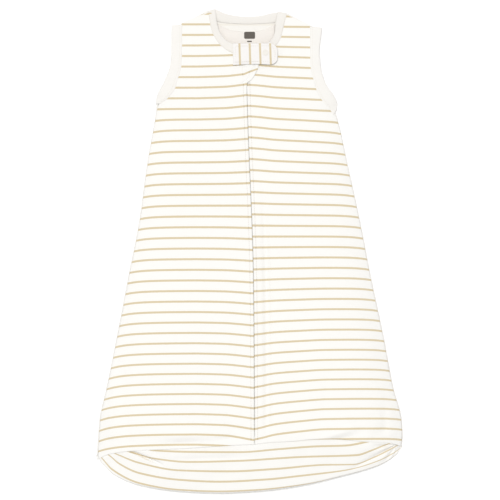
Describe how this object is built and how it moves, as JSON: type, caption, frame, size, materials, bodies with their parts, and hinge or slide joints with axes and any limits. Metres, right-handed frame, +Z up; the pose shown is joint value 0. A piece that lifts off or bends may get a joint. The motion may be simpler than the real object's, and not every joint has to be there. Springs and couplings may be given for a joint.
{
  "type": "baby sleeping bag",
  "caption": "Sleeveless baby sleeping bag in striped knit: full-length front zip, snap tab over its top, bound neck and armholes, crescent foot panel.",
  "frame": {"origin": "centre of the bounding box on the floor that the bag lies on", "axes": "+X to the right seen from above, +Y towards the neck, +Z up out of the front"},
  "size_m": [0.473, 0.757, 0.0365],
  "materials": {
    "striped_cloth": "soft knit, off-white with narrow tan stripes",
    "binding": "fine rib knit",
    "facing": "plain knit",
    "tape": "woven tape",
    "coil": "satin",
    "thread": "sewing thread",
    "metal": "satin, nickel tone",
    "label_print": "flat print"
  },
  "bodies": {
    "bag": {"back_panel": "striped_cloth", "back_neck_facing": "facing", "printed_label": "label_print", "neck_binding_back": "binding", "front_side_left": "striped_cloth", "front_side_right": "striped_cloth", "foot_gusset": "striped_cloth", "hem_seam": "striped_cloth", "foot_seam": "striped_cloth", "side_seam_left": "striped_cloth", "side_seam_right": "striped_cloth", "shoulder_seam_left": "striped_cloth", "shoulder_seam_right": "striped_cloth", "armhole_binding_left": "binding", "armhole_binding_right": "binding", "zip_end_tape": "tape", "zip_bottom_stop": "metal"},
    "left_flap": {"front_flap_left": "striped_cloth", "neck_binding_left": "binding", "zip_tape_left": "tape", "zip_coil_left": "coil", "zip_top_stop_left": "metal", "zip_topstitch_left": "thread", "tab_base": "striped_cloth"},
    "right_flap": {"front_flap_right": "striped_cloth", "neck_binding_right": "binding", "zip_tape_right": "tape", "zip_coil_right": "coil", "zip_top_stop_right": "metal", "zip_topstitch_right": "thread", "snap_stud": "metal", "snap_stud_back_ring": "metal"},
    "tab": {"tab_under_layer": "striped_cloth", "tab_outer_layer": "striped_cloth", "tab_topstitch": "thread", "snap_cap": "metal", "snap_socket": "metal"},
    "slider": {"zip_slider": "metal"},
    "pull": {"zip_pull": "metal"}
  },
  "joints": [
    {"name": "flap_left_open", "type": "hinge", "parent": "bag", "child": "left_flap", "pos_m": [-0.05929, 0.34637, 0.00922], "axis": [0.0823, -0.9956, 0.0444], "range_deg": [0, 100]},
    {"name": "flap_right_open", "type": "hinge", "parent": "bag", "child": "right_flap", "pos_m": [0.05309, 0.34637, 0.00922], "axis": [0.0513, 0.9977, -0.0445], "range_deg": [0, 100]},
    {"name": "zip_slide", "type": "slide", "parent": "bag", "child": "slider", "axis": [0.0217, -0.9988, 0.0445], "range_m": [0, 0.563]},
    {"name": "tab_open", "type": "hinge", "parent": "left_flap", "child": "tab", "pos_m": [-0.026, 0.30646, 0.0121], "axis": [0, -0.999, 0.0446], "range_deg": [0, 90]},
    {"name": "pull_flip", "type": "hinge", "parent": "slider", "child": "pull", "pos_m": [-0.00592, 0.29931, 0.01052], "axis": [0.9998, 0.0217, -0.001], "range_deg": [0, 113]}
  ],
  "couplings": [
    {"joint": "flap_right_open", "follows": "flap_left_open", "ratio": 1},
    {"joint": "zip_slide", "follows": "flap_left_open", "m_per_rad": 0.322},
    {"joint": "pull_flip", "follows": "tab_open", "ratio": 1.25}
  ]
}
